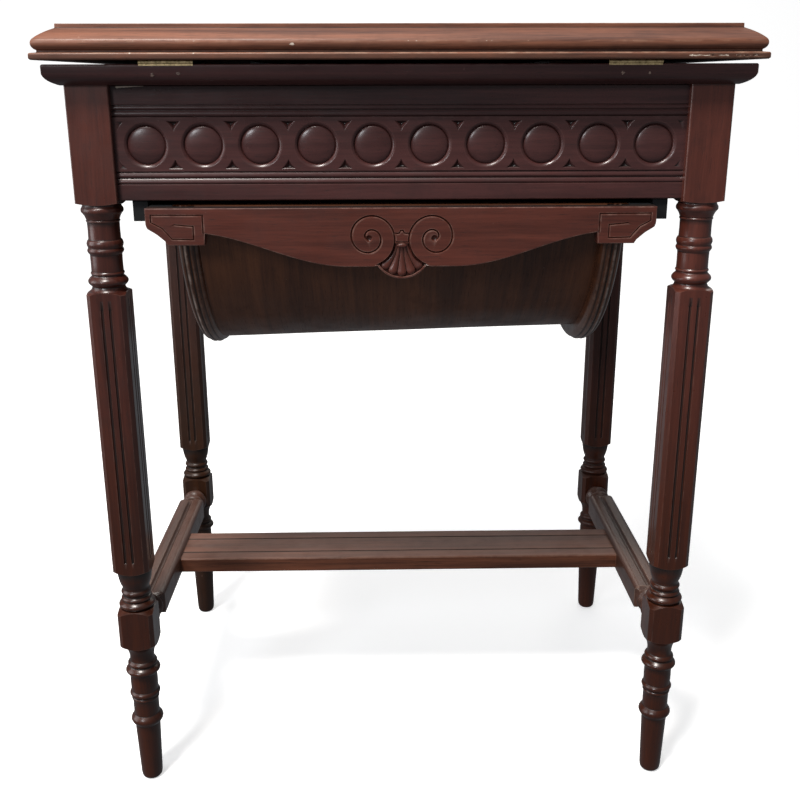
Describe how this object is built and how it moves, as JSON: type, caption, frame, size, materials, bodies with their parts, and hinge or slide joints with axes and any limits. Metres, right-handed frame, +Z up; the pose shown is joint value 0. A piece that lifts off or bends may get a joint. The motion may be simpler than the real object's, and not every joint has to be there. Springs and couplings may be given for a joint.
{
  "type": "sewing table",
  "caption": "Sewing table on turned legs with a hinged lid over a divided compartment, a carved frieze, joined stretchers and a half-round bin that slides out under a carved apron.",
  "frame": {"origin": "on the floor, midway between the four legs", "axes": "+X to the right along the table's width, +Y from the hinged, carved side towards the back, +Z up"},
  "size_m": [0.598, 0.421, 0.736],
  "materials": {
    "mahogany": "dark reddish brown, satin varnish",
    "lid_wood": "reddish brown, worn satin varnish",
    "bin_wood": "dark brown bent board, satin varnish",
    "dark_wood": "near black, waxed",
    "inner_wood": "plain, unvarnished secondary wood",
    "brass": "dull, tarnished",
    "steel": "plain, darkened with age"
  },
  "bodies": {
    "table": {"leg_front_left": "mahogany", "leg_front_right": "mahogany", "leg_back_left": "mahogany", "leg_back_right": "mahogany", "frieze_front": "mahogany", "frieze_back": "mahogany", "frieze_left": "mahogany", "frieze_right": "mahogany", "cornice_front": "mahogany", "cornice_back": "mahogany", "cornice_left": "mahogany", "cornice_right": "mahogany", "glue_blocks": "inner_wood", "compartment_floor": "inner_wood", "divider_long": "inner_wood", "divider_left": "inner_wood", "divider_right": "inner_wood", "runner_left": "dark_wood", "runner_right": "dark_wood", "runner_screws": "steel", "side_stretcher_left": "mahogany", "side_stretcher_right": "mahogany", "centre_stretcher": "mahogany", "hinge_left_lower_leaf": "brass", "hinge_right_lower_leaf": "brass", "hinge_left_pin": "brass", "hinge_right_pin": "brass", "hinge_lower_screws": "steel"},
    "lid": {"lid": "lid_wood", "lid_batten_left": "lid_wood", "lid_batten_right": "lid_wood", "lid_batten_screws": "steel", "hinge_left_upper_leaf": "brass", "hinge_right_upper_leaf": "brass", "hinge_upper_screws": "steel"},
    "bin": {"bin_apron": "mahogany", "bin_side_left": "bin_wood", "bin_side_right": "bin_wood", "bin_sheet": "bin_wood", "bin_front_rail": "bin_wood", "bin_back_rail": "bin_wood", "bin_hanger_left": "dark_wood", "bin_hanger_right": "dark_wood", "bin_apron_screws": "steel", "bin_side_screws": "steel", "bin_hanger_screws": "steel"}
  },
  "joints": [
    {"name": "lid_hinge", "type": "hinge", "parent": "table", "child": "lid", "pos_m": [0, -0.204, 0.706], "axis": [1, 0, 0], "range_deg": [0, 100]},
    {"name": "bin_slide", "type": "slide", "parent": "table", "child": "bin", "axis": [0, -1, 0], "range_m": [0, 0.27]}
  ]
}
